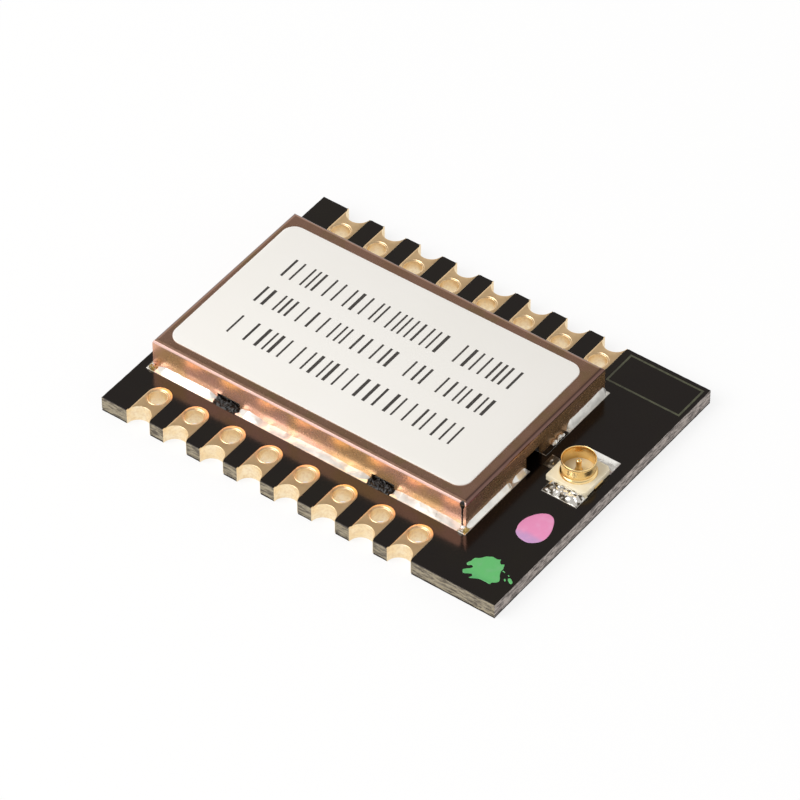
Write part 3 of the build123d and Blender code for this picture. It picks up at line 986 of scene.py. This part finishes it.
def make_corner_lumps():
    """Small lumps of fluxed solder on the land's two near corners."""
    for name, low_x, high_x, seed in (
        ("rear", land_low.x + land_rim, can_low.x + 0.42, 51),
        ("front", can_high.x - 0.3, land_high.x - land_rim, 54),
    ):

        def height(x, y):
            """Level of the lumps."""
            side = max(0.0, 1 - abs(2 * (x - low_x) / (high_x - low_x) - 1) ** 4)
            rise = 0.5 + ripple((x, y, 0), 0.17, seed) + 0.4 * ripple((x, y, 3), 0.07, seed)
            return land_top - sunk + side * max(0.0, 0.02 + 0.16 * rise)

        shape = heap(low_x, high_x, land_low.y + land_rim, can_low.y + 0.02, 0.03, height)
        show(f"corner_lumps_{name}", shape, "solder", (), "amber_solder", 60)


def make_relief_flux_and_shade():
    """Dark glossy heap that closes each relief of the near wall: partly flux, partly painted shade of
    the can's dark inside.
    """
    half, wall_y = 0.9, can_low.y
    for i, offset in enumerate(opening_offsets):
        centre = (can_low.x + can_high.x) / 2 + offset
        seed = 11 + i * 5

        def height(x, y):
            """Level of the heap: high at the wall's foot, running out to the land's edge."""
            side = max(0.0, 1 - ((x - centre) / half) ** 6)
            slope = held((y - (wall_y - 0.52)) / 0.4)
            lumps = 0.5 + 0.5 * ripple((x, y, 0), 0.2, seed)
            fine = ripple((x, y, 5), 0.08, seed)
            return mask_top - sunk + side * slope * (0.08 + 0.26 * lumps + 0.09 * fine)

        shape = heap(centre - half, centre + half, wall_y - 0.5, wall_y + 0.12, 0.025, height)
        show(f"relief_flux_and_shade_{i + 1}", shape, "flux", sharp=60)


def make_seam_shade():
    """Dark sheet over the seam at the can's near front corner, wider round the relief at its top:
    painted shade where the seam opens into the can.
    """
    centre_x = can_high.x - seam_inset
    bend_centre = Vector((can_low.y + can_bend, can_high.z - can_bend))

    def on_wall(u, rise, proud):
        """Point beside the seam, at a height along the wall and its bend, and that far proud."""
        straight = bend_centre.y - land_top
        if rise <= straight:
            return (centre_x + u, can_low.y - proud, land_top + rise)
        turn = (rise - straight) / can_bend
        reach = can_bend + proud
        return (centre_x + u, bend_centre.x - reach * math.cos(turn),
                bend_centre.y + reach * math.sin(turn))

    # Half the dark sheet's width at each height, then its section as shares of that and how far proud
    halves = ((0.0, 0.065), (0.6, 0.055), (1.0, 0.06), (1.3, 0.075), (1.38, 0.11), (1.46, 0.15),
              (1.56, 0.17), (1.68, 0.165), (1.78, 0.125), (1.83, 0.08), (1.86, 0.03))
    section = ((-1, -0.02), (1, -0.02), (0.96, 0.008), (0.6, 0.018), (-0.6, 0.018), (-0.96, 0.008))
    rings = []
    for rise, half in halves:
        half += 0.012 * ripple((rise, 0, 0), 0.12, 61)
        rings.append([on_wall(half * share, rise, proud) for share, proud in section])
    show("seam_shade_front", bands(rings), "flux", sharp=60)


def make_label():
    """Film label on the can, a little askew, with generic rows of bars printed on it."""
    turn = math.radians(0.45)
    cos, sin = math.cos(turn), math.sin(turn)
    length, width, corner = 20.1, 11.45, 0.8
    middle = (label_low + label_high) / 2
    face = label_high.z - print_rise

    def placed(points):
        """Points of the label turned with it."""
        return [(middle.x + x * cos - y * sin, middle.y + x * sin + y * cos) for x, y in points]

    levels = [(0.0, label_low.z), (0.0, face - 0.03), (0.008, face - 0.008), (0.03, face)]
    film = sheet(placed(rounded_rectangle(length, width, corner)), levels)
    show("label_film", film, "label_paper", ["label"])

    # Rows of upright bars, by the row's edges and the ends of each group
    rows = (
        ((1.84, 3.40), ((-10.04, -6.77), (-6.59, -6.06), (-5.82, 0.82), (1.71, 5.59))),
        ((-0.66, 0.72), ((-10.04, -0.70), (0.16, 1.62), (2.34, 5.59))),
        ((-3.51, -1.94), ((-9.75, -9.50), (-8.64, -6.06), (-5.43, 5.73))),
    )
    dice = random.Random(5)
    bars = []
    for (low_y, high_y), groups in rows:
        for x, end in groups:
            while x < end - 0.1:
                wide = min(dice.choice((0.12, 0.12, 0.15, 0.2)), end - x)
                corners = rectangle(x, x + wide, low_y, high_y)
                local = [(u - middle.x, v - middle.y) for u, v in corners]
                bars.append(sheet(placed(local), [(0.0, face - 0.004), (0.0, label_high.z)]))
                x += wide + dice.choice((0.26, 0.34, 0.44, 0.6))
    show("label_bars", join(*bars), "label_print")


def make_board_print():
    """Plain outline printed on the resist beside the jack."""
    low_x, high_x, low_y, high_y, line = 8.18, 13.1, 7.41, 9.87, 0.12
    foot, face = mask_top - sunk, mask_top + print_rise
    outer = rectangle(low_x, high_x, low_y, high_y)
    inner = rectangle(low_x + line, high_x - line, low_y + line, high_y - line)
    rings = [[(*a, foot), (*b, foot), (*b, face), (*a, face)] for a, b in zip(outer, inner)]
    show("board_outline_print", bands(rings + rings[:1], caps=False), "board_print")


def make_ink():
    """Two marks left by a marker pen: a pink blot, and a green dab that ends in brush strokes."""
    base, top = mask_top - sunk, mask_top + 0.02
    blot = ((10.94, -4.82), (10.99, -5.0), (11.20, -5.2), (11.50, -5.33), (11.96, -5.37),
            (12.24, -5.22), (12.52, -4.95), (12.66, -4.59), (12.64, -4.12), (12.52, -3.72),
            (12.36, -3.36), (12.16, -3.06), (11.92, -2.93), (11.68, -2.91), (11.35, -3.1),
            (11.09, -3.42), (10.90, -3.78), (10.82, -4.15), (10.83, -4.55))
    levels = [(0.0, base), (0.0, mask_top + 0.004), (0.03, top - 0.006), (0.10, top)]
    show("pink_blot", sheet(softened(blot), levels), "pink_ink", ["pink_ink_mark"])

    dab = ((10.96, -9.33), (11.27, -9.18), (11.47, -9.05), (11.84, -9.02), (12.06, -9.04),
           (12.22, -9.02), (12.20, -8.88), (12.41, -8.74), (12.50, -8.58), (12.40, -8.38),
           (12.24, -8.18), (12.12, -7.90), (12.14, -7.72), (12.06, -7.54), (11.99, -7.37),
           (11.90, -7.46), (11.82, -7.50), (11.68, -7.38), (11.62, -7.17), (11.52, -7.30),
           (11.30, -7.30), (11.15, -7.28), (11.02, -7.38), (10.85, -7.47), (10.70, -7.72),
           (10.57, -7.83), (10.42, -7.92), (10.39, -8.08), (10.39, -8.22), (10.31, -8.36),
           (10.29, -8.52), (10.44, -8.60), (10.57, -8.45), (10.69, -8.46), (10.74, -8.55),
           (10.70, -8.66), (10.54, -8.80), (10.38, -8.98), (10.47, -9.12), (10.57, -9.20),
           (10.78, -9.09), (10.95, -8.97), (11.06, -9.03), (11.09, -9.12))
    spots = (
        ((12.72, -8.17), (13.08, -8.42), (13.17, -8.24), (12.83, -8.01)),
        ((12.56, -8.27), (12.72, -8.42), (12.77, -8.34), (12.66, -8.23)),
        ((12.17, -7.86), (12.34, -7.89), (12.38, -7.84), (12.21, -7.79)),
        ((12.59, -7.94), (12.70, -8.0), (12.73, -7.95), (12.64, -7.88)),
    )
    levels = [(0.0, base), (0.0, mask_top + 0.006), (0.015, top)]
    shapes = [sheet(softened(outline, 1), levels) for outline in (dab,) + spots]
    show("green_dab", join(*shapes), "green_ink", ["green_ink_mark"])


def make_jack():
    """Micro coax jack: drawn ring contact, round-ended post and moulded body."""
    x, y = jack_centre.xy
    foot_top = land_top + 0.12
    foot = [(0.0, land_top), (0.0, foot_top - 0.02), (0.02, foot_top)]
    ring = [(0.935, 2.31), (0.945, 2.345), (0.965, 2.36), (0.985, 2.345), (1.0, 2.29),
            (0.995, 2.24), (0.972, 2.18), (0.955, 2.10), (0.958, 1.80), (0.962, 1.62),
            (0.945, 1.58), (0.95, 1.54), (1.0, 1.50), (1.045, 1.45), (1.07, 1.38), (1.12, 1.20),
            (1.0, 1.20), (0.90, 1.45), (0.895, 1.7), (0.90, 2.2)]
    feet = [rectangle(x - 0.9, x + 0.9, y - 1.55, y - 1.1),
            rectangle(x - 0.9, x + 0.9, y + 1.1, y + 1.55),
            rectangle(x + 1.1, x + 1.38, y - 0.375, y + 0.375)]
    shell = join(turned(ring, (x, y)), *[sheet(outline, foot) for outline in feet])
    show("coax_shell", shell, "jack_gold", ["coax_ring"], sharp=50)

    post = [(0.0, 1.2), (0.23, 1.2), (0.23, 1.5), (0.17, 1.60), (0.155, 1.72), (0.155, 2.10),
            (0.145, 2.16), (0.112, 2.206), (0.07, 2.225), (0.045, 2.22), (0.03, 2.18), (0.0, 2.17)]
    tail = sheet(rectangle(x - 1.6, x, y - 0.25, y + 0.25), foot)
    pin = join(turned(post, (x, y), 48), tail)
    show("coax_pin", pin, "jack_gold", ["coax_post"], sharp=50)

    # Block with two corners cut, a soft top edge and a floor inside the ring
    half, cut, nick = 1.3, 0.22, 0.08
    x0, x1, y0, y1 = x - half, x + half, y - half, y + half
    outline = [(x0, y0 + nick), (x0 + nick, y0), (x1 - cut, y0), (x1, y0 + cut),
               (x1, y1 - cut), (x1 - cut, y1), (x0 + nick, y1), (x0, y1 - nick)]
    top = land_top + 0.35
    levels = [(0.0, land_top), (0.0, top - 0.07), (0.012, top - 0.035), (0.035, top - 0.012),
              (0.07, top)]
    floor = [(0.0, 1.3), (0.93, 1.3), (0.93, 1.46), (0.90, 1.48), (0.0, 1.48)]
    body = join(sheet(outline, levels), turned(floor, (x, y), 64))
    show("coax_body", body, "jack_moulding", ["coax_housing"], sharp=50)


def make_jack_solder():
    """Solder heaped over the three feet of the jack."""
    for name, side, finish, lump in (("near", -1, "fluxed_solder", 0.09), ("far", 1, "solder", 0.03)):
        low, high = box_mm(f"coax_ground_land_{name}")
        inner = jack_centre.y + side * 1.28
        outer = low.y + 0.02 if side < 0 else high.y - 0.02

        def height(x, y):
            """Level of the solder: over the foot at the body, thin at the land's edges."""
            run = abs(y - outer) / abs(inner - outer)
            ends = held(min(x - low.x, high.x - x) / 0.25)
            lumps = ripple((x, y, 0), 0.24, side + 5) + 0.5 * ripple((x, y, 2), 0.1, side + 8)
            return land_top + 0.012 + ends * min(1.0, run * 1.9) * (0.12 + lump * (0.5 + lumps))

        shape = heap(low.x + 0.02, high.x - 0.02, *sorted((inner, outer)), 0.04, height)
        show(f"coax_ground_solder_{name}", shape, "solder", [f"coax_solder_{name}"], finish, 60)

    low, high = box_mm("coax_signal_land")

    def tail_height(x, y):
        """Level of the stained solder over the signal foot."""
        side = max(0.0, 1 - abs((y - jack_centre.y) / 0.46) ** 3)
        ends = held((x - low.x) / 0.3)
        lumps = ripple((x, y, 0), 0.2, 21) + 0.5 * ripple((x, y, 2), 0.09, 22)
        return land_top + 0.008 + side * ends * (0.15 + 0.07 * lumps)

    shape = heap(low.x - 0.01, high.x - 0.1, low.y - 0.01, high.y + 0.01, 0.04, tail_height)
    show("coax_signal_solder", shape, "solder", ["coax_solder_signal"], "stained_solder", 60)


def make_front_residue():
    """Flux film, solder blobs and specks by the relief that the aerial's track runs through."""
    wall_x = can_high.x
    low_x, high_x = wall_x - 0.02, land_high.x - 0.005
    low_y, high_y = 0.62, 2.8

    def film(x, y):
        """Level of the flux on the front land."""
        ends = held(min(y - low_y, high_y - y) / 0.15)
        return land_top + 0.004 + ends * (0.03 + 0.03 * ripple((x, y, 0), 0.16, 31))

    show("flux_front", heap(low_x, high_x, low_y, high_y, 0.035, film), "flux", sharp=60)

    # Place, radius and height of each blob
    blobs = ((wall_x + 0.10, 1.66, 0.17, 0.24), (wall_x + 0.08, 2.14, 0.15, 0.26),
             (wall_x + 0.10, 1.90, 0.12, 0.09), (wall_x + 0.09, 2.42, 0.14, 0.13),
             (wall_x + 0.06, 1.42, 0.05, 0.05))

    def spatter(x, y):
        """Level of the solder blobs, under the flux where there are none."""
        tall = 0.0
        for at_x, at_y, radius, rise in blobs:
            away = math.hypot(x - at_x, (y - at_y) * 0.8) / radius
            tall = max(tall, rise * math.sqrt(max(0.0, 1 - away * away)))
        return land_top - 0.02 + tall * (1 + 0.15 * ripple((x, y, 0), 0.08, 33))

    shape = heap(low_x, high_x, 1.3, 2.62, 0.025, spatter)
    show("solder_spatter_front", shape, "solder", sharp=60)


make_camera()
make_studio()
for make_group in (group_mottle, group_waves, group_facing_up, group_bends):
    make_group()
materials = {
    make.__name__: make()
    for make in (shield_metal, gold_plate, solder_mask, laminate, solder, label_paper, jack_gold,
                 jack_moulding, pink_ink, green_ink, chip_black, crystal_lid, ceramic,
                 fluxed_solder, stained_solder, dull_tin, amber_solder, flux, label_print,
                 board_print)
}
dress_frame()
make_board()
make_pins()
make_corner_lumps()
make_shield_solder()
make_relief_flux_and_shade()
make_seam_shade()
make_label()
make_board_print()
make_ink()
make_jack()
make_jack_solder()
make_front_residue()
